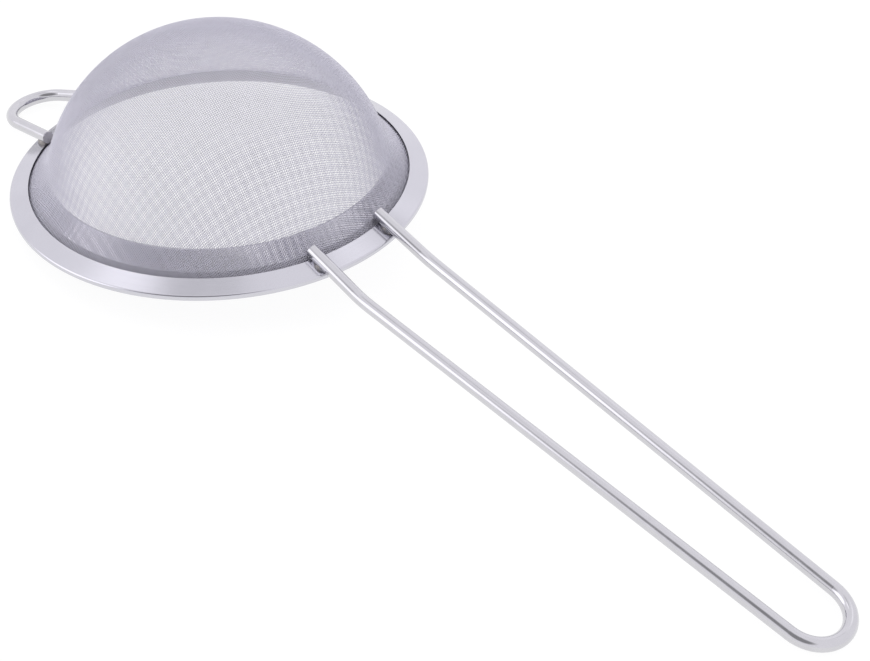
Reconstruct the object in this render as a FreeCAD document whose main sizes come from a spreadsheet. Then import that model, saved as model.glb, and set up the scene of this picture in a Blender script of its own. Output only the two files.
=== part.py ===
import FreeCAD, Part

import math
import os

import Sketcher

# A tea strainer at rest with its bowl upside down, as it is left to drain.  It lies on the end of its handle and
# on the far edge of its rim, so the rim leans a few degrees.  Millimetres throughout.
#
# Every piece is drawn in the head's frame: the origin is the centre of the rim's seat, z is the bowl's axis and
# x runs out along the handle.  One placement, the lean of the head, then sets the pieces down with +Z upright.

os.makedirs("parts", exist_ok=True)
doc = FreeCAD.newDocument("tea_strainer")
sheet = doc.addObject("Spreadsheet::Sheet", "Sizes")

SIZES = [
    ("rim_radius", 40.0),             # outside of the rim
    ("rim_edge_height", 1.08),        # folded edge, bottom to top
    ("rim_edge_round", 0.45),         # rounding of the folded edge
    ("rim_sheet", 0.30),              # steel sheet of the rim
    ("lip_inner_radius", 36.35),      # where the sloping lip ends over the cloth
    ("lip_inner_height", 2.35),
    ("pocket_radius", 39.45),         # inside of the fold, where the cloth's edge is held
    ("skirt_top_height", 5.70),       # upper edge of the band inside the cloth
    ("cloth_thickness", 0.36),        # two crossed wires
    ("cloth_radius", 39.30),          # the cloth's cut edge, inside the fold
    ("dome_radius", 34.00),           # outside of the pressed bowl
    ("dome_centre_depth", 3.90),      # below the seat
    ("flare_centre_radius", 44.45),   # the curve from the bowl out under the lip
    ("flare_centre_height", 12.65),
    ("wire_diameter", 2.40),
    ("wire_gap", 0.10),               # between the wire and the lip, closed by the welds
    ("handle_tip_reach", 34.80),
    ("handle_tip_spread", 8.16),      # half the distance between the two legs
    ("handle_bend_reach", 47.60),
    ("handle_bend_spread", 8.38),
    ("handle_bend_radius", 25.00),
    ("handle_end_reach", 136.20),     # where the end's half circle starts
    ("handle_end_spread", 6.10),
    ("handle_end_drop", 17.40),
    ("loop_tip_reach", 34.69),        # along the loop's own middle line
    ("loop_tip_spread", 9.08),
    ("loop_bend_reach", 42.98),       # centre of the loop's bend
    ("loop_bend_radius", 6.75),
    ("loop_droop", 5.2),              # degrees below the rim's plane
    ("loop_turn", 15.2),              # degrees that the loop stands off the handle's line
    ("weld_length", 3.00),            # along the wire
    ("weld_width", 2.60),
    ("weld_height", 1.20),
]


def enter_in_sheet(rows, first_row):
    for row, (alias, value) in enumerate(rows, start=first_row):
        sheet.set(f"A{row}", alias)
        sheet.set(f"B{row}", str(value))
        sheet.setAlias(f"B{row}", alias)
    doc.recompute()


enter_in_sheet(SIZES, 1)


def size(alias):
    return float(sheet.get(alias))


# ---------------------------------------------------------------- sizes that follow from the sheet

LIP_SLOPE = ((size("lip_inner_height") - size("rim_edge_height"))
             / (size("rim_radius") - size("lip_inner_radius")))
FLARE_CENTRE = (size("flare_centre_radius"), size("flare_centre_height"))
DOME_CENTRE = (0.0, -size("dome_centre_depth"))
CENTRE_DISTANCE = math.dist(FLARE_CENTRE, DOME_CENTRE)
# The dome and the flare are tangent, so the flare's radius is what the dome leaves of the distance.
FLARE_RADIUS = CENTRE_DISTANCE - size("dome_radius")
WIRE_RADIUS = size("wire_diameter") / 2


def lip_height(x, y):
    return size("rim_edge_height") + (size("rim_radius") - math.hypot(x, y)) * LIP_SLOPE


def crossing(radius, spread):
    """Where a wire at this distance from the middle crosses a circle of the rim."""
    return math.sqrt(radius ** 2 - spread ** 2)


def wire_over_lip(spread):
    """Height and slope of the centreline of a wire that lies across the lip."""
    inner = crossing(size("lip_inner_radius"), spread)
    outer = crossing(size("rim_radius"), spread)
    slope = (size("lip_inner_height") - size("rim_edge_height")) / (outer - inner)
    sideways = LIP_SLOPE * spread / size("rim_radius")
    lift = WIRE_RADIUS * math.sqrt(1 + slope ** 2 + sideways ** 2) + size("wire_gap")
    return inner, size("lip_inner_height") + lift, slope


def wire_height(spread, x):
    inner, height, slope = wire_over_lip(spread)
    return height - (x - inner) * slope


handle_rise = wire_height(size("handle_tip_spread"), size("handle_bend_reach")) + size("handle_end_drop")
handle_slope = handle_rise / (size("handle_end_reach") - size("handle_bend_reach"))
HANDLE_END = (size("handle_end_reach") + size("handle_end_spread") / math.hypot(1, handle_slope),
              -size("handle_end_drop") - size("handle_end_spread") * handle_slope / math.hypot(1, handle_slope))
LOOP_SLOPE = math.tan(math.radians(size("loop_droop")))
# The loop's wires touch the lip's inner edge and rise clear of the lip beyond it.
LOOP_CROSSING = crossing(size("lip_inner_radius"), size("loop_tip_spread"))
LOOP_HEIGHT = size("lip_inner_height") + WIRE_RADIUS * math.hypot(1, LOOP_SLOPE) + size("wire_gap")
# At rest the underside of the rim's far edge and of the handle's end are level, which gives the head its lean.
FAR_EDGE = (size("rim_edge_round") - size("rim_radius"), size("rim_edge_round"))
REST_RUN, REST_DROP = HANDLE_END[0] - FAR_EDGE[0], FAR_EDGE[1] - HANDLE_END[1]
LEAN = math.degrees(math.atan(REST_DROP / REST_RUN)
                    + math.asin((WIRE_RADIUS - size("rim_edge_round")) / math.hypot(REST_RUN, REST_DROP)))
enter_in_sheet([("rest_lean", LEAN)], len(SIZES) + 1)

nodes = []


def set_down(piece, label):
    """Name a finished piece and lean it to its resting attitude."""
    piece.Label = label
    piece.Placement = FreeCAD.Placement(FreeCAD.Vector(), FreeCAD.Rotation(FreeCAD.Vector(0, 1, 0), -LEAN))
    piece.setExpression(".Placement.Rotation.Angle", "-Sizes.rest_lean")
    nodes.append(piece)


# ---------------------------------------------------------------- turned pieces: sketch and revolution

def turned_body(name):
    """A body with an empty sketch in the plane of its axis; sketch x is the radius and sketch y the height."""
    body = doc.addObject("PartDesign::Body", name)
    plane = next(f for f in body.Origin.OriginFeatures if f.Role == "XZ_Plane")
    sketch = body.newObject("Sketcher::SketchObject", name + "_section")
    sketch.AttachmentSupport = (plane, "")
    sketch.MapMode = "FlatFace"
    return body, sketch


def line(sketch, start, end):
    return sketch.addGeometry(Part.LineSegment(FreeCAD.Vector(*start, 0), FreeCAD.Vector(*end, 0)), False)


def arc(sketch, centre, radius, start, end):
    """An arc that runs anticlockwise from one point to the other."""
    angles = [math.atan2(point[1] - centre[1], point[0] - centre[0]) for point in (start, end)]
    circle = Part.Circle(FreeCAD.Vector(*centre, 0), FreeCAD.Vector(0, 0, 1), radius)
    return sketch.addGeometry(Part.ArcOfCircle(circle, *angles), False)


def join(sketch, *ends):
    """Make pairs of ends meet: each end is (geometry, 1 for its start or 2 for its end)."""
    for first, second in zip(ends[::2], ends[1::2]):
        sketch.addConstraint(Sketcher.Constraint("Coincident", *first, *second))


def bind(sketch, kind, where, value, expression):
    """A driving dimension tied to the sheet."""
    index = sketch.addConstraint(Sketcher.Constraint(kind, *where, value))
    sketch.setExpression(f"Constraints[{index}]", expression)


def place(sketch, end, point, across, up):
    """Tie an end to a radius and a height; a dimension given as None is left free."""
    if across:
        bind(sketch, "DistanceX", (-1, 1, *end), point[0], across)
    if up:
        bind(sketch, "DistanceY", (-1, 1, *end), point[1], up)


def place_centre(sketch, curve, centre, across, up):
    place(sketch, (curve, 3), centre, across, up)


def turn(body, sketch):
    revolution = body.newObject("PartDesign::Revolution", body.Name + "_turned")
    revolution.Profile = sketch
    revolution.ReferenceAxis = (sketch, ["V_Axis"])
    revolution.Angle = 360.0
    return revolution


def on_flare(radius, height):
    """The point at this height on a circle about the flare's centre, on the bowl's side."""
    return (FLARE_CENTRE[0] - math.sqrt(radius ** 2 - (FLARE_CENTRE[1] - height) ** 2), height)


def build_rim():
    """One strip of sheet: a sloping lip, folded under at the outside, with a flared band up inside the cloth."""
    body, sketch = turned_body("rim_ring")
    sheet_mm, edge = size("rim_sheet"), size("rim_radius")
    outside = FLARE_RADIUS + size("cloth_thickness")
    inside = outside + sheet_mm
    under = sheet_mm * math.hypot(1, LIP_SLOPE)
    seat_in = on_flare(inside, 0.0)
    lip_top = (size("lip_inner_radius"), size("lip_inner_height"))
    lip_under = (lip_top[0], lip_top[1] - under)
    pocket = size("pocket_radius")
    pocket_top = (pocket, size("rim_edge_height") + (edge - pocket) * LIP_SLOPE - under)
    pocket_low = (pocket, sheet_mm)
    floor_in = on_flare(outside, sheet_mm)
    top_out = on_flare(outside, size("skirt_top_height"))
    top_in = on_flare(inside, size("skirt_top_height"))

    # The folded edge: a rounding below, a short upright face, a rounding above that runs into the lip.
    rounding = size("rim_edge_round")
    low_centre = (edge - rounding, rounding)
    high_centre = (edge - rounding,
                   size("rim_edge_height") + rounding * (LIP_SLOPE - math.hypot(1, LIP_SLOPE)))
    lip_start = (high_centre[0] + rounding * LIP_SLOPE / math.hypot(1, LIP_SLOPE),
                 high_centre[1] + rounding / math.hypot(1, LIP_SLOPE))

    seat = line(sketch, seat_in, (edge - rounding, 0.0))
    low_round = arc(sketch, low_centre, rounding, (edge - rounding, 0.0), (edge, rounding))
    side = line(sketch, (edge, rounding), (edge, high_centre[1]))
    high_round = arc(sketch, high_centre, rounding, (edge, high_centre[1]), lip_start)
    lip = line(sketch, lip_start, lip_top)
    lip_end = line(sketch, lip_top, lip_under)
    lip_back = line(sketch, lip_under, pocket_top)
    fold = line(sketch, pocket_top, pocket_low)
    floor = line(sketch, pocket_low, floor_in)
    skirt_out = arc(sketch, FLARE_CENTRE, outside, top_out, floor_in)
    skirt_end = line(sketch, top_out, top_in)
    skirt_in = arc(sketch, FLARE_CENTRE, inside, top_in, seat_in)
    for first, second in ((seat, low_round), (low_round, side), (side, high_round), (high_round, lip)):
        sketch.addConstraint(Sketcher.Constraint("Tangent", first, 2, second, 1))
    join(sketch, (lip, 2), (lip_end, 1), (lip_end, 2), (lip_back, 1), (lip_back, 2), (fold, 1),
         (fold, 2), (floor, 1), (floor, 2), (skirt_out, 2), (skirt_out, 1), (skirt_end, 1),
         (skirt_end, 2), (skirt_in, 1), (skirt_in, 2), (seat, 1), (skirt_out, 3), (skirt_in, 3))
    for level in (floor, skirt_end):
        sketch.addConstraint(Sketcher.Constraint("Horizontal", level))
    for upright in (lip_end, fold):
        sketch.addConstraint(Sketcher.Constraint("Vertical", upright))
    sketch.addConstraint(Sketcher.Constraint("Parallel", lip, lip_back))
    sketch.addConstraint(Sketcher.Constraint("PointOnObject", seat, 1, -1))
    sketch.addConstraint(Sketcher.Constraint("Horizontal", seat))
    sketch.addConstraint(Sketcher.Constraint("Vertical", side))
    place(sketch, (side, 2), (edge, high_centre[1]), "Sizes.rim_radius", None)
    bind(sketch, "Radius", (low_round,), rounding, "Sizes.rim_edge_round")
    bind(sketch, "Radius", (high_round,), rounding, "Sizes.rim_edge_round")
    edge_point = sketch.addGeometry(Part.Point(FreeCAD.Vector(edge, size("rim_edge_height"), 0)), True)
    place(sketch, (edge_point, 1), (edge, size("rim_edge_height")),
          "Sizes.rim_radius", "Sizes.rim_edge_height")
    sketch.addConstraint(Sketcher.Constraint("PointOnObject", edge_point, 1, lip))
    place(sketch, (lip, 2), lip_top, "Sizes.lip_inner_radius", "Sizes.lip_inner_height")
    bind(sketch, "Distance", (lip_back, 1, lip), sheet_mm, "Sizes.rim_sheet")
    place(sketch, (floor, 1), pocket_low, "Sizes.pocket_radius", "Sizes.rim_sheet")
    place(sketch, (skirt_end, 1), top_out, None, "Sizes.skirt_top_height")
    place_centre(sketch, skirt_out, FLARE_CENTRE, "Sizes.flare_centre_radius", "Sizes.flare_centre_height")
    flare = ("sqrt(Sizes.flare_centre_radius^2 + (Sizes.flare_centre_height + Sizes.dome_centre_depth)^2)"
             " - Sizes.dome_radius + Sizes.cloth_thickness")
    bind(sketch, "Radius", (skirt_out,), outside, flare)
    bind(sketch, "Radius", (skirt_in,), inside, flare + " + Sizes.rim_sheet")
    turn(body, sketch)
    set_down(body, "rim_ring")
    return body


def build_cloth():
    """The woven bowl as one thin shell, dome and flare, its edge held in the rim's fold."""
    body, sketch = turned_body("mesh_bowl")
    thick = size("cloth_thickness")
    low = size("rim_sheet")
    outer_dome, inner_dome = size("dome_radius"), size("dome_radius") - thick
    outer_flare, inner_flare = FLARE_RADIUS, FLARE_RADIUS + thick
    along = [(FLARE_CENTRE[k] - DOME_CENTRE[k]) / CENTRE_DISTANCE for k in (0, 1)]

    def tangent_point(radius):
        return (DOME_CENTRE[0] + along[0] * radius, DOME_CENTRE[1] + along[1] * radius)

    top_out = (0.0, DOME_CENTRE[1] + outer_dome)
    top_in = (0.0, DOME_CENTRE[1] + inner_dome)
    flat_out = on_flare(outer_flare, low + thick)
    flat_in = on_flare(inner_flare, low)
    edge_top = (size("cloth_radius"), low + thick)
    edge_low = (size("cloth_radius"), low)

    dome_out = arc(sketch, DOME_CENTRE, outer_dome, tangent_point(outer_dome), top_out)
    flare_out = arc(sketch, FLARE_CENTRE, outer_flare, tangent_point(outer_dome), flat_out)
    held_top = line(sketch, flat_out, edge_top)
    cut = line(sketch, edge_top, edge_low)
    held_low = line(sketch, edge_low, flat_in)
    flare_in = arc(sketch, FLARE_CENTRE, inner_flare, tangent_point(inner_dome), flat_in)
    dome_in = arc(sketch, DOME_CENTRE, inner_dome, tangent_point(inner_dome), top_in)
    axis = line(sketch, top_in, top_out)
    join(sketch, (flare_out, 2), (held_top, 1), (held_top, 2), (cut, 1), (cut, 2), (held_low, 1),
         (held_low, 2), (flare_in, 2), (dome_in, 2), (axis, 1), (axis, 2), (dome_out, 2),
         (dome_out, 3), (dome_in, 3), (flare_out, 3), (flare_in, 3))
    sketch.addConstraint(Sketcher.Constraint("Tangent", dome_out, 1, flare_out, 1))
    sketch.addConstraint(Sketcher.Constraint("Tangent", dome_in, 1, flare_in, 1))
    sketch.addConstraint(Sketcher.Constraint("PointOnObject", axis, 1, -2))
    sketch.addConstraint(Sketcher.Constraint("PointOnObject", axis, 2, -2))
    sketch.addConstraint(Sketcher.Constraint("PointOnObject", dome_out, 3, -2))
    sketch.addConstraint(Sketcher.Constraint("Vertical", cut))
    for level in (held_top, held_low):
        sketch.addConstraint(Sketcher.Constraint("Horizontal", level))
    bind(sketch, "DistanceY", (dome_out, 3, -1, 1), -DOME_CENTRE[1], "Sizes.dome_centre_depth")
    bind(sketch, "Radius", (dome_out,), outer_dome, "Sizes.dome_radius")
    bind(sketch, "Radius", (dome_in,), inner_dome, "Sizes.dome_radius - Sizes.cloth_thickness")
    place_centre(sketch, flare_out, FLARE_CENTRE, "Sizes.flare_centre_radius", "Sizes.flare_centre_height")
    place(sketch, (held_low, 1), edge_low, "Sizes.cloth_radius", "Sizes.rim_sheet")
    place(sketch, (held_top, 2), edge_top, None, "Sizes.rim_sheet + Sizes.cloth_thickness")
    turn(body, sketch)
    set_down(body, "mesh_bowl")
    return body


# ---------------------------------------------------------------- bent wires

def corner(before, point, after, radius):
    """Where an arc of this radius leaves the first run, its middle, and where it joins the second run."""
    towards, away = (before - point).normalize(), (after - point).normalize()
    half = towards.getAngle(away) / 2
    setback = radius / math.tan(half)
    middle = point + (towards + away).normalize() * (radius / math.sin(half) - radius)
    return point + towards * setback, middle, point + away * setback


def bent_wire(label, start, runs):
    """A round wire along runs from start: each run is (end,) for a straight or (middle, end) for an arc."""
    pieces, here = [], start
    for *middle, end in runs:
        pieces.append(Part.Arc(here, middle[0], end) if middle else Part.LineSegment(here, end))
        here = end
    path = Part.Wire([piece.toShape() for piece in pieces])
    ring = Part.Wire(Part.Circle(start, runs[0][-1] - start, WIRE_RADIUS).toShape())
    wire = doc.addObject("Part::Feature", label)
    wire.Shape = path.makePipeShell([ring], True, False)
    expected = math.pi * WIRE_RADIUS ** 2 * path.Length
    if abs(wire.Shape.Volume / expected - 1) > 0.01:
        raise RuntimeError(f"the volume of {label} is not its section times its length")
    set_down(wire, label)
    return wire


def build_handle():
    """One round wire bent to a long U, both of its ends laid inwards across the lip."""
    spread, far_spread = size("handle_bend_spread"), size("handle_end_spread")
    tip_x, bend_x, end_x = size("handle_tip_reach"), size("handle_bend_reach"), size("handle_end_reach")
    tip_spread = size("handle_tip_spread")
    tip = FreeCAD.Vector(tip_x, tip_spread, wire_height(tip_spread, tip_x))
    bend = FreeCAD.Vector(bend_x, spread, wire_height(tip_spread, bend_x))
    end = FreeCAD.Vector(end_x, far_spread, -size("handle_end_drop"))
    enter, middle, leave = corner(tip, bend, end, size("handle_bend_radius"))

    # The legs draw together a little, so the end turns through slightly less than half a circle.
    run = math.hypot(end_x - bend_x, end.z - bend.z)
    narrowing = math.atan((spread - far_spread) / run)
    end_radius = far_spread / math.cos(narrowing)
    outwards = FreeCAD.Vector(1, 0, -handle_slope).normalize()
    far_point = FreeCAD.Vector(end_x, 0, end.z) + outwards * end_radius * (1 - math.sin(narrowing))

    def mirrored(point):
        return FreeCAD.Vector(point.x, -point.y, point.z)

    return bent_wire("handle_wire", tip, [
        (enter,), (middle, leave), (end,), (far_point, mirrored(end)), (mirrored(leave),),
        (mirrored(middle), mirrored(enter)), (mirrored(tip),)])


def on_loop(reach, across):
    """A point of the loop's middle surface, at a reach along its own middle line and an offset across it."""
    turned = math.radians(180 + size("loop_turn"))
    height = LOOP_HEIGHT - (reach - LOOP_CROSSING) * LOOP_SLOPE
    return FreeCAD.Vector(reach * math.cos(turned) + across * math.sin(turned),
                          reach * math.sin(turned) - across * math.cos(turned), height)


def loop_bend_start():
    """Reach and offset where a leg, run straight from its tip, meets the bend and is tangent to it."""
    radius, centre = size("loop_bend_radius"), size("loop_bend_reach")
    back, across = size("loop_tip_reach") - centre, size("loop_tip_spread")
    angle = math.atan2(across, back) - math.acos(radius / math.hypot(back, across))
    return centre + radius * math.cos(angle), radius * math.sin(angle)


def build_loop():
    """The rest loop on the far side of the rim: a short U whose legs spread towards the lip."""
    reach, across = loop_bend_start()
    tip_reach, tip_spread = size("loop_tip_reach"), size("loop_tip_spread")
    far_reach = size("loop_bend_reach") + size("loop_bend_radius")
    return bent_wire("rest_loop", on_loop(tip_reach, tip_spread), [
        (on_loop(reach, across),), (on_loop(far_reach, 0.0), on_loop(reach, -across)),
        (on_loop(tip_reach, -tip_spread),)])


# ---------------------------------------------------------------- welds

def build_weld(label, wire, place_on_lip, outwards):
    """A small bead where a wire crosses the lip, filling the corner between the two."""
    heading = math.degrees(math.atan2(outwards.y, outwards.x))
    along_wire = (FreeCAD.Rotation(FreeCAD.Vector(0, 0, 1), heading)
                  * FreeCAD.Rotation(FreeCAD.Vector(0, 1, 0), math.degrees(math.atan(LIP_SLOPE))))
    bead = Part.makeSphere(1.0)
    bead = bead.transformGeometry(FreeCAD.Matrix(size("weld_length") / 2, 0, 0, 0,
                                                 0, size("weld_width") / 2, 0, 0,
                                                 0, 0, size("weld_height"), 0))
    x, y = place_on_lip.x, place_on_lip.y
    bead.Placement = FreeCAD.Placement(FreeCAD.Vector(x, y, lip_height(x, y)), along_wire)
    # Everything below the lip's upper face, and the wire itself, is cut away from the bead.
    deep = 10.0
    foot = size("rim_radius") + (size("rim_edge_height") + deep) / LIP_SLOPE
    head = size("rim_radius") + (size("rim_edge_height") - deep) / LIP_SLOPE
    below_lip = Part.makeCone(foot, head, 2 * deep, FreeCAD.Vector(0, 0, -deep))
    wire_shape = wire.Shape.copy()
    wire_shape.Placement = FreeCAD.Placement()
    weld = doc.addObject("Part::Feature", label)
    weld.Shape = bead.cut(below_lip).cut(wire_shape)
    set_down(weld, label)
    return weld


rim = build_rim()
cloth = build_cloth()
handle = build_handle()
loop = build_loop()
handle_spread = size("handle_tip_spread")
handle_middle = (crossing(size("lip_inner_radius"), handle_spread) + crossing(size("rim_radius"), handle_spread)) / 2
for name, side in (("left", 1), ("right", -1)):
    build_weld("handle_weld_" + name, handle, FreeCAD.Vector(handle_middle, side * handle_spread, 0),
               FreeCAD.Vector(1, 0, 0))
    tip = on_loop(size("loop_tip_reach"), side * size("loop_tip_spread"))
    reach, across = loop_bend_start()
    leg = (on_loop(reach, side * across) - tip).normalize()
    build_weld("loop_weld_" + name, loop, tip + leg * size("weld_length") / 2, leg)

doc.recompute()
for item in doc.Objects:
    if "Invalid" in item.State or "Error" in item.State:
        raise RuntimeError(f"{item.Label} failed: {item.State}")
for piece in nodes:
    if piece.Shape.isNull() or not piece.Shape.isValid():
        raise RuntimeError(f"{piece.Label} has no valid shape")
for piece in nodes:
    piece.Shape.exportStep(f"parts/{piece.Label}.step")
    box = piece.Shape.BoundBox
    print(f"{piece.Label:20s} solids {len(piece.Shape.Solids)}  volume {piece.Shape.Volume:9.2f}  "
          f"x {box.XMin:8.2f} {box.XMax:8.2f}  y {box.YMin:7.2f} {box.YMax:7.2f}  z {box.ZMin:7.2f} {box.ZMax:7.2f}")
print(f"lean {LEAN:.3f} degrees")
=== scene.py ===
"""Looks of a stainless steel tea strainer: a woven bowl on a conical rim, a wire handle and a rest loop.

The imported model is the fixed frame. The rim, the wires and the welds keep their shape and get
finishes; the bowl's smooth shell is stood for by a cloth of woven wires. Lengths are in metres.
"""
import math

import bpy
import numpy as np
from mathutils import Matrix, Vector


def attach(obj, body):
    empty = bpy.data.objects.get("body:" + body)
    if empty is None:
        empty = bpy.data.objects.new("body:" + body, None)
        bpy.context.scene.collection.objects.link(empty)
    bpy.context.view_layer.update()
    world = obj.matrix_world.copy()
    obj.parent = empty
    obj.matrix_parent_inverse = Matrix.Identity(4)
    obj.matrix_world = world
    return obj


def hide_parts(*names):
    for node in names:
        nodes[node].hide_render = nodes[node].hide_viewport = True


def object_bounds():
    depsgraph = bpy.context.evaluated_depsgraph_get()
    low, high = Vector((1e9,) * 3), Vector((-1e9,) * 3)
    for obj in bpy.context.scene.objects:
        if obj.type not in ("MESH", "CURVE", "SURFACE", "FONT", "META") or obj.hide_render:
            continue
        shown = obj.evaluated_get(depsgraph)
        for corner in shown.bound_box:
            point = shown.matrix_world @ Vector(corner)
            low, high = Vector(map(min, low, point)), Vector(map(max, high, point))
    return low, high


MM = 0.001

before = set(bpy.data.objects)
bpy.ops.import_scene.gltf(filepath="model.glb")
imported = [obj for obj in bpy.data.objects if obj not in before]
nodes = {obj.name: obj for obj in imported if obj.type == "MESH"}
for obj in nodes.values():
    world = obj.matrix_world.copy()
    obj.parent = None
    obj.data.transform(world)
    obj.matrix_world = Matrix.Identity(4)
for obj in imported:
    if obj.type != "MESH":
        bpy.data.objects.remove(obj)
cad_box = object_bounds()

# ---------------------------------------------------------------- sizes

LEAN = math.radians(6.203)       # the head leans about Y, because the handle's end stands on the table

DOME_CENTRE_Z = -3.90 * MM       # the cloth's middle surface: a sphere ...
DOME_RADIUS = 33.82 * MM
FLARE_CENTRE = (44.45 * MM, 12.65 * MM)     # ... then a hollow arc tangent to it ...
FLARE_RADIUS = 13.61 * MM
HEM_HEIGHT = 0.48 * MM           # ... then a flat hem held under the rim's lip
HEM_RADIUS = 39.20 * MM

PITCH = 0.38 * MM                # between neighbouring wires of the cloth
CLOTH_WIRE = 0.132 * MM
WIRE_SIDES = 4
CLOTH_WAVE = 0.053 * MM          # how far a wire rises and falls about the middle surface
CLOTH_TURN = math.radians(-13)   # how far the cloth's wires are turned from the handle's line
STREAK_DRIFT = 0.065 * MM        # on the steep part of the bowl the wires stray sideways by this much ...
STREAK_PITCH = 2.0 * MM          # ... in waves this long, which gives faint streaks
STREAK_START = 20 * MM           # length along the cloth from the crown where the straying starts ...
STREAK_FADE = 10 * MM            # ... and the length over which it grows
BANDS = 8                        # pieces that each set of wires is split into

# ---------------------------------------------------------------- nodes of a material


def new_material(name):
    """An empty material with its output, and a function that adds nodes to it."""
    material = bpy.data.materials.new(name)
    material.use_nodes = True
    tree = material.node_tree
    tree.nodes.clear()
    output = tree.nodes.new("ShaderNodeOutputMaterial")
    shader = tree.nodes.new("ShaderNodeBsdfPrincipled")
    tree.links.new(shader.outputs[0], output.inputs[0])
    return material, tree, shader


def feed(tree, socket, value):
    """Joins an output to the socket, or sets the socket to a constant."""
    if isinstance(value, bpy.types.NodeSocket):
        tree.links.new(value, socket)
    else:
        socket.default_value = value


def add(tree, kind, **inputs):
    node = tree.nodes.new("ShaderNode" + kind)
    for key, value in inputs.items():
        feed(tree, node.inputs[key], value)
    return node


def math_node(tree, operation, *values):
    node = tree.nodes.new("ShaderNodeMath")
    node.operation = operation
    for socket, value in zip(node.inputs, values):
        feed(tree, socket, value)
    return node.outputs[0]


def length(tree, x, y):
    squares = (math_node(tree, "MULTIPLY", x, x), math_node(tree, "MULTIPLY", y, y))
    return math_node(tree, "SQRT", math_node(tree, "ADD", *squares))


def noise(tree, place, scale, detail, roughness=0.5):
    return add(tree, "TexNoise", Vector=place, Scale=scale, Detail=detail, Roughness=roughness).outputs[0]


def remap(tree, value, low, high, to_low, to_high):
    node = tree.nodes.new("ShaderNodeMapRange")
    tree.links.new(value, node.inputs["Value"])
    for key, number in (("From Min", low), ("From Max", high), ("To Min", to_low), ("To Max", to_high)):
        node.inputs[key].default_value = number
    return node.outputs["Result"]


def blend_colours(tree, factor, first, second):
    node = tree.nodes.new("ShaderNodeMix")
    node.data_type = "RGBA"
    tree.links.new(factor, node.inputs[0])
    for socket, colour in ((node.inputs[6], first), (node.inputs[7], second)):
        feed(tree, socket, (*colour, 1) if isinstance(colour, tuple) else colour)
    return node.outputs[2]


def bump(tree, height, strength, distance):
    node = tree.nodes.new("ShaderNodeBump")
    node.inputs["Strength"].default_value = strength
    node.inputs["Distance"].default_value = distance
    tree.links.new(height, node.inputs["Height"])
    return node.outputs["Normal"]


def head_coordinates(tree):
    """Places on the surface in the head's own frame, in millimetres, so that patterns follow its axis."""
    place = tree.nodes.new("ShaderNodeTexCoord").outputs["Object"]
    turn = tree.nodes.new("ShaderNodeMapping")
    turn.vector_type = "POINT"
    turn.inputs["Rotation"].default_value = (0, LEAN, 0)
    turn.inputs["Scale"].default_value = (1 / MM, 1 / MM, 1 / MM)
    tree.links.new(place, turn.inputs["Vector"])
    return turn.outputs["Vector"]


# Places on the rim, in millimetres
LIP_SLOPE = 0.348                # the lip's outer face falls this much for each millimetre outwards ...
LIP_LEVEL = 1.08 + LIP_SLOPE * 40           # ... so that height plus slope times radius is this all over it
FOLD_RADIUS = 39.4               # inside of the fold
LIP_INNER_RADIUS = 36.2          # just inside the lip's inner edge
SKIRT_RADIUS = 38.5              # the skirt lies within this
SKIRT_BEND = 13.95               # from the flare's centre to the middle of the skirt's sheet
CUT_REACH = 39.5                 # the wires' cut ends lie within this of the bowl's axis, along X


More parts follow.
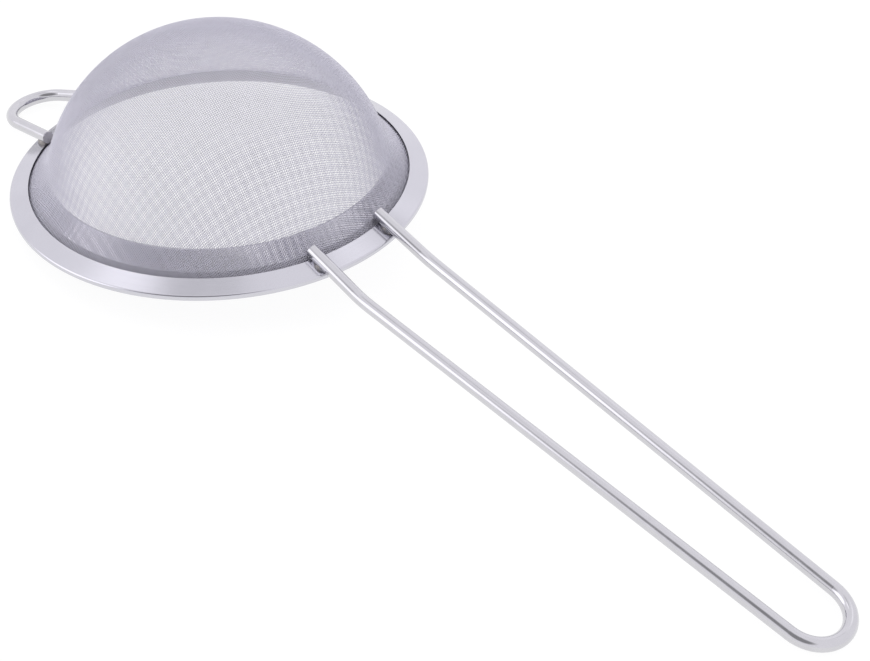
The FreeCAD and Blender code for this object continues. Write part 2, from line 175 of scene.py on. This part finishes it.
def rim_steel():
    """Spun and polished sheet: fine turning marks around the axis, and soft wear and smears between them.
    Painted shade under the lip and on the skirt's inner face, and painted light on the skirt behind the
    cloth.
    """
    material, tree, shader = new_material("rim_polished_steel")
    place = head_coordinates(tree)
    x, y, z = add(tree, "SeparateXYZ", Vector=place).outputs
    radius = length(tree, x, y)
    angle = math_node(tree, "ARCTAN2", y, x)
    around = add(tree, "CombineXYZ", X=math_node(tree, "MULTIPLY", radius, 9.0),
                 Y=math_node(tree, "MULTIPLY", angle, 1.5), Z=math_node(tree, "MULTIPLY", z, 9.0))
    marks = noise(tree, around.outputs[0], 1.6, 5.0, 0.65)
    smears = noise(tree, place, 0.11, 3.0)
    # painted shade: inside the fold and on the skirt's inner face the sheet is painted darker where shade
    # falls, and made rougher
    lip_fall = math_node(tree, "ADD", z, math_node(tree, "MULTIPLY", radius, LIP_SLOPE))
    under_lip = math_node(tree, "MULTIPLY",
                          remap(tree, lip_fall, LIP_LEVEL - 0.14, LIP_LEVEL - 0.22, 0.0, 1.0),
                          remap(tree, radius, FOLD_RADIUS + 0.05, FOLD_RADIUS - 0.05, 0.0, 1.0))
    from_flare = length(tree, math_node(tree, "SUBTRACT", radius, FLARE_CENTRE[0] / MM),
                        math_node(tree, "SUBTRACT", z, FLARE_CENTRE[1] / MM))
    inner_skirt = math_node(tree, "MULTIPLY",
                            remap(tree, from_flare, SKIRT_BEND - 0.05, SKIRT_BEND + 0.05, 0.0, 1.0),
                            remap(tree, radius, SKIRT_RADIUS + 0.1, SKIRT_RADIUS - 0.1, 0.0, 1.0))
    painted_shade_and_dull = math_node(tree, "MAXIMUM", under_lip, inner_skirt)
    # painted light: behind the cloth the skirt is painted lighter, against the shade in the gap between the
    # cloth and the skirt
    painted_light_skirt = remap(tree, radius, LIP_INNER_RADIUS + 0.05, LIP_INNER_RADIUS - 0.05, 0.0, 1.0)
    tone = blend_colours(tree, smears, (0.58, 0.575, 0.62), (0.66, 0.655, 0.70))
    # painted light on the skirt behind the cloth
    tone = blend_colours(tree, painted_light_skirt, tone, (0.86, 0.85, 0.88))
    # painted shade: darker under the lip and on the skirt's inner face
    tone = blend_colours(tree, painted_shade_and_dull, tone, (0.34, 0.335, 0.36))
    tree.links.new(tone, shader.inputs["Base Color"])
    rough = math_node(tree, "ADD", remap(tree, marks, 0.35, 0.65, 0.10, 0.18),
                      remap(tree, smears, 0.3, 0.7, 0.0, 0.05))
    tree.links.new(math_node(tree, "ADD", rough, math_node(tree, "MULTIPLY", painted_shade_and_dull, 0.25)),
                   shader.inputs["Roughness"])
    tree.links.new(bump(tree, marks, 0.25, 0.00002), shader.inputs["Normal"])
    shader.inputs["Metallic"].default_value = 1.0
    return material


def wire_steel():
    """Drawn and tumbled wire: long faint die lines, small dings, a high polish."""
    material, tree, shader = new_material("wire_polished_steel")
    place = head_coordinates(tree)
    stretch = add(tree, "Mapping", Vector=place, Scale=(0.05, 2.6, 2.6)).outputs[0]
    lines = noise(tree, stretch, 1.0, 4.0, 0.6)
    dings = noise(tree, place, 0.55, 4.0, 0.6)
    # the cut ends near the bowl are sheared and rough, and their pale colour is partly a painted highlight
    facing = tree.nodes.new("ShaderNodeTexCoord").outputs["Normal"]
    facing = math_node(tree, "ABSOLUTE", add(tree, "SeparateXYZ", Vector=facing).outputs[0])
    reach = math_node(tree, "ABSOLUTE", add(tree, "SeparateXYZ", Vector=place).outputs[0])
    cut_end_painted_highlight = math_node(tree, "MULTIPLY", remap(tree, facing, 0.88, 0.92, 0.0, 1.0),
                    remap(tree, reach, CUT_REACH + 0.5, CUT_REACH - 0.5, 0.0, 1.0))
    drawn = blend_colours(tree, dings, (0.59, 0.585, 0.61), (0.66, 0.655, 0.68))
    # painted highlight: the cut ends are painted pale
    tree.links.new(blend_colours(tree, cut_end_painted_highlight, drawn, (0.88, 0.87, 0.88)), shader.inputs["Base Color"])
    rough = math_node(tree, "ADD", remap(tree, lines, 0.35, 0.65, 0.07, 0.14),
                      remap(tree, dings, 0.4, 0.7, 0.0, 0.05))
    tree.links.new(math_node(tree, "ADD", rough, math_node(tree, "MULTIPLY", cut_end_painted_highlight, 0.45)),
                   shader.inputs["Roughness"])
    tree.links.new(bump(tree, dings, 0.15, 0.00004), shader.inputs["Normal"])
    shader.inputs["Metallic"].default_value = 1.0
    return material


def weld_steel():
    """Small fused beads: a rippled skin, darker and duller than the wire, the darkness partly weld scale and
    partly painted shadow of the gap under the wire, with a faint heat tint.
    """
    material, tree, shader = new_material("weld_steel")
    place = head_coordinates(tree)
    ripple = noise(tree, place, 2.4, 4.0, 0.6)
    tint = noise(tree, place, 0.7, 2.0)
    # painted shadow: the dark ramp colours stand partly for weld scale and partly for the shade in the gap
    # under the wire
    ramp = tree.nodes.new("ShaderNodeValToRGB")
    ramp.color_ramp.elements[0].position = 0.35
    ramp.color_ramp.elements[0].color = (0.22, 0.22, 0.25, 1)
    ramp.color_ramp.elements[1].position = 0.62
    ramp.color_ramp.elements[1].color = (0.34, 0.33, 0.34, 1)
    middle = ramp.color_ramp.elements.new(0.5)
    middle.color = (0.30, 0.28, 0.27, 1)
    tree.links.new(tint, ramp.inputs[0])
    tree.links.new(ramp.outputs[0], shader.inputs["Base Color"])
    tree.links.new(remap(tree, ripple, 0.3, 0.7, 0.28, 0.5), shader.inputs["Roughness"])
    tree.links.new(bump(tree, ripple, 0.6, 0.00012), shader.inputs["Normal"])
    shader.inputs["Metallic"].default_value = 1.0
    return material


def cloth_steel():
    """Fine woven wire: satin, a little uneven from wire to wire."""
    material, tree, shader = new_material("cloth_steel")
    place = head_coordinates(tree)
    uneven = noise(tree, place, 0.35, 5.0, 0.65)
    grain = noise(tree, place, 6.0, 3.0, 0.6)
    tree.links.new(blend_colours(tree, uneven, (0.62, 0.61, 0.68), (0.74, 0.73, 0.81)),
                   shader.inputs["Base Color"])
    tree.links.new(remap(tree, grain, 0.3, 0.7, 0.30, 0.46), shader.inputs["Roughness"])
    shader.inputs["Metallic"].default_value = 1.0
    return material


# ---------------------------------------------------------------- the woven bowl

# Lengths along the cloth from the crown: to the end of the dome, along the flare, and to the cut edge
DOME_ARC = DOME_RADIUS * math.atan2(FLARE_CENTRE[0], FLARE_CENTRE[1] - DOME_CENTRE_Z)
FLARE_START = math.atan2(FLARE_CENTRE[1] - DOME_CENTRE_Z, FLARE_CENTRE[0])
FLARE_END = math.asin((FLARE_CENTRE[1] - HEM_HEIGHT) / FLARE_RADIUS)
FLARE_ARC = FLARE_RADIUS * (FLARE_END - FLARE_START)
HEM_START = FLARE_CENTRE[0] - FLARE_RADIUS * math.cos(FLARE_END)
CLOTH_ARC = DOME_ARC + FLARE_ARC + HEM_RADIUS - HEM_START


def profile(arc):
    """Radius, height and outward normal of the cloth's middle surface, at a length from the crown."""
    dome = arc / DOME_RADIUS
    flare = FLARE_START + (arc - DOME_ARC) / FLARE_RADIUS
    hem = HEM_START + arc - DOME_ARC - FLARE_ARC
    on_dome, on_flare = arc <= DOME_ARC, arc <= DOME_ARC + FLARE_ARC
    radius = np.where(on_dome, DOME_RADIUS * np.sin(dome),
                      np.where(on_flare, FLARE_CENTRE[0] - FLARE_RADIUS * np.cos(flare), hem))
    height = np.where(on_dome, DOME_CENTRE_Z + DOME_RADIUS * np.cos(dome),
                      np.where(on_flare, FLARE_CENTRE[1] - FLARE_RADIUS * np.sin(flare), HEM_HEIGHT))
    out = np.where(on_dome, np.sin(dome), np.where(on_flare, np.cos(flare), 0.0))
    up = np.where(on_dome, np.cos(dome), np.where(on_flare, np.sin(flare), 1.0))
    return radius, height, out, up


def on_cloth(u, v, rise):
    """Points over the flat cloth's (u, v), lifted by rise along the formed cloth's normal, and normals."""
    drift = STREAK_DRIFT * np.clip((np.hypot(u, v) - STREAK_START) / STREAK_FADE, 0, 1)
    u, v = (along + drift * np.sin(2 * math.pi * along / STREAK_PITCH) for along in (u, v))
    arc = np.hypot(u, v)
    safe = np.maximum(arc, 1e-12)
    cos, sin = u / safe, v / safe
    cos, sin = (cos * math.cos(CLOTH_TURN) - sin * math.sin(CLOTH_TURN),
                cos * math.sin(CLOTH_TURN) + sin * math.cos(CLOTH_TURN))
    radius, height, out, up = profile(arc)
    normal = np.stack([out * cos, out * sin, up], 1)
    points = np.stack([radius * cos, radius * sin, height], 1) + normal * rise[:, None]
    return points, normal


def lean(points):
    """From the head's frame to the resting frame."""
    c, s = math.cos(LEAN), math.sin(LEAN)
    x, y, z = points.T
    return np.stack([x * c - z * s, y, x * s + z * c], 1)


def woven_wires(direction, first, last):
    """Vertices and faces of the wires numbered first to last that run along one direction of the cloth."""
    vertices, faces, base = [], [], 0
    sides = WIRE_SIDES
    corner = np.arange(sides) * (2 * math.pi / sides)
    spacing = PITCH / 2              # between the rings of corners along a wire
    for number in range(first, last):
        across = (number + 0.5) * PITCH
        half = math.sqrt(max(CLOTH_ARC ** 2 - across ** 2, 0))
        steps = int(half / spacing)
        if steps < 2:
            continue
        along = np.arange(-steps, steps + 1) * spacing
        # crossings lie half a pitch off the middle, so the crests come at odd multiples of half a pitch
        phase = 0 if (number + direction) % 2 == 0 else math.pi
        rise = CLOTH_WAVE * np.sin(along * math.pi / PITCH + phase)
        constant = np.full_like(along, across)
        u, v = (along, constant) if direction == 0 else (constant, along)
        centre, normal = on_cloth(u, v, rise)
        tangent = np.gradient(centre, axis=0)
        tangent /= np.linalg.norm(tangent, axis=1)[:, None]
        side = np.cross(tangent, normal)
        side /= np.linalg.norm(side, axis=1)[:, None]
        top = np.cross(side, tangent)
        ring = (centre[:, None, :] + CLOTH_WIRE / 2 * (np.cos(corner)[None, :, None] * side[:, None, :]
                                                      + np.sin(corner)[None, :, None] * top[:, None, :]))
        count = len(along)
        vertices.append(ring.reshape(-1, 3))
        row = np.arange(count - 1)[:, None] * sides + base
        here, there = np.arange(sides)[None, :], (np.arange(sides)[None, :] + 1) % sides
        quads = np.stack([row + here, row + there, row + sides + there, row + sides + here], 2).reshape(-1, 4)
        faces.extend(quads.tolist())
        faces.append([base + s for s in range(sides)][::-1])
        faces.append([base + (count - 1) * sides + s for s in range(sides)])
        base += count * sides
    return lean(np.concatenate(vertices)), faces


def make_cloth(material):
    """Both sets of wires, each in bands of neighbouring wires."""
    wires = int(CLOTH_ARC / PITCH)
    edges = [round(-wires + 2 * wires * share / BANDS) for share in range(BANDS + 1)]
    for direction, name in enumerate(("warp", "weft")):
        for band in range(BANDS):
            points, faces = woven_wires(direction, edges[band], edges[band + 1])
            mesh = bpy.data.meshes.new(f"bowl_{name}_{band + 1}")
            mesh.from_pydata(points.tolist(), [], faces)
            mesh.shade_smooth()
            mesh.materials.append(material)
            piece = bpy.data.objects.new(mesh.name, mesh)
            bpy.context.scene.collection.objects.link(piece)
            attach(piece, "root")
            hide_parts("mesh_bowl")


make_cloth(cloth_steel())

# ---------------------------------------------------------------- finishes of the CAD nodes

finishes = {"rim_ring": rim_steel(), "wire": wire_steel(), "weld": weld_steel()}
for name, node in nodes.items():
    if name == "mesh_bowl":
        continue
    finish = finishes["rim_ring"] if name == "rim_ring" else finishes["weld" if "weld" in name else "wire"]
    if not node.material_slots:
        node.data.materials.append(finish)
    for slot in node.material_slots:
        slot.material = finish

# ---------------------------------------------------------------- floor and light

FLOOR_SIZE = 3.0
FLOOR_GLOW = 0.90                # the table is a light table, so that the steel casts next to no shadow

half = FLOOR_SIZE / 2
table_z = cad_box[0][2]
corners = [(x, y, table_z) for x, y in ((-half, -half), (half, -half), (half, half), (-half, half))]
floor_mesh = bpy.data.meshes.new("floor")
floor_mesh.from_pydata(corners, [], [(0, 1, 2, 3)])
floor = bpy.data.objects.new("floor", floor_mesh)
bpy.context.scene.collection.objects.link(floor)
paper, tree, shader = new_material("light_table")
shader.inputs["Base Color"].default_value = (0.15, 0.15, 0.15, 1)
shader.inputs["Roughness"].default_value = 0.9
shader.inputs["Specular IOR Level"].default_value = 0.0
shader.inputs["Emission Color"].default_value = (1, 1, 1, 1)
shader.inputs["Emission Strength"].default_value = FLOOR_GLOW
floor_mesh.materials.append(paper)

# The tent around the table, even but for soft round patches that are lighter or darker.  Each patch has its
# azimuth and elevation, the radius of its even middle, the radius where it has faded out, and its gain.
TENT_LEVEL = 1.04
TENT_DARKEST = 0.08
TENT_PATCHES = (
    (-130, 25, 17, 27, 0.75),        # a lamp to the left of the camera
    (-68, 50, 19, 34, -0.70),        # the camera and who holds it
    (-177, 54, 2, 9, 0.42),          # a gap of light high on the far left ...
    (167, 67, 4, 10, -0.26),         # ... and a fold of the tent beside it
    (110, 55, 1.5, 6, 0.26),         # seams of the tent on the far right
    (109, 43.5, 1.5, 5, -0.16),
    (110, 37, 1, 5, 0.12),
    (118, 28, 12, 32, 0.05),
)

world = bpy.data.worlds.new("tent")
bpy.context.scene.world = world
world.use_nodes = True
tree = world.node_tree
tree.nodes.clear()
direction = add(tree, "SeparateXYZ", Vector=tree.nodes.new("ShaderNodeTexCoord").outputs["Generated"])
toward_x, toward_y, toward_z = direction.outputs


def smooth(value, low, high):
    """0 below low, 1 above high, smooth between."""
    node = tree.nodes.new("ShaderNodeMapRange")
    node.interpolation_type = "SMOOTHSTEP"
    tree.links.new(value, node.inputs["Value"])
    node.inputs["From Min"].default_value, node.inputs["From Max"].default_value = low, high
    return node.outputs["Result"]


def spot(azimuth, elevation, inner, outer):
    """1 within inner degrees of a direction, fading to 0 at outer degrees."""
    a, e = math.radians(azimuth), math.radians(elevation)
    axis = (math.cos(a) * math.cos(e), math.sin(a) * math.cos(e), math.sin(e))
    cosine = 0.0
    for toward, share in zip((toward_x, toward_y, toward_z), axis):
        cosine = math_node(tree, "ADD", cosine, math_node(tree, "MULTIPLY", toward, share))
    return smooth(cosine, math.cos(math.radians(outer)), math.cos(math.radians(inner)))


level = TENT_LEVEL
for azimuth, elevation, inner, outer, gain in TENT_PATCHES:
    patch = spot(azimuth, elevation, inner, outer)
    level = math_node(tree, "ADD", level, math_node(tree, "MULTIPLY", patch, gain))
level = math_node(tree, "MAXIMUM", level, TENT_DARKEST)
tent = tree.nodes.new("ShaderNodeBackground")
tent.inputs["Color"].default_value = (0.97, 0.96, 1.0, 1)
tree.links.new(level, tent.inputs["Strength"])
tree.links.new(tent.outputs[0], tree.nodes.new("ShaderNodeOutputWorld").inputs[0])

bpy.context.scene.view_settings.view_transform = "Standard"
bpy.context.scene.view_settings.look = "None"

# ---------------------------------------------------------------- camera

CAMERA_LENS = 62.07
CAMERA_DISTANCE = 252.8 * MM
AZIMUTH, ELEVATION, ROLL = math.radians(-46.34), math.radians(38.18), math.radians(0.14)
TARGET = Vector((62.87, -6.06, 0.0)) * MM
back = Vector((math.cos(AZIMUTH) * math.cos(ELEVATION),
               math.sin(AZIMUTH) * math.cos(ELEVATION),
               math.sin(ELEVATION)))
right = Vector((0, 0, 1)).cross(back).normalized()
up = back.cross(right)
c, s = math.cos(ROLL), math.sin(ROLL)
axes = Matrix((c * right + s * up, c * up - s * right, back)).transposed()
tilt = Matrix.Rotation(-LEAN, 3, "Y")
camera_data = bpy.data.cameras.new("camera")
camera_data.lens = CAMERA_LENS
camera_data.sensor_width = 36.0
camera_data.clip_start = 0.01
camera = bpy.data.objects.new("camera", camera_data)
bpy.context.scene.collection.objects.link(camera)
camera.matrix_world = Matrix.Translation(tilt @ (TARGET + CAMERA_DISTANCE * back)) @ (tilt @ axes).to_4x4()
bpy.context.scene.camera = camera
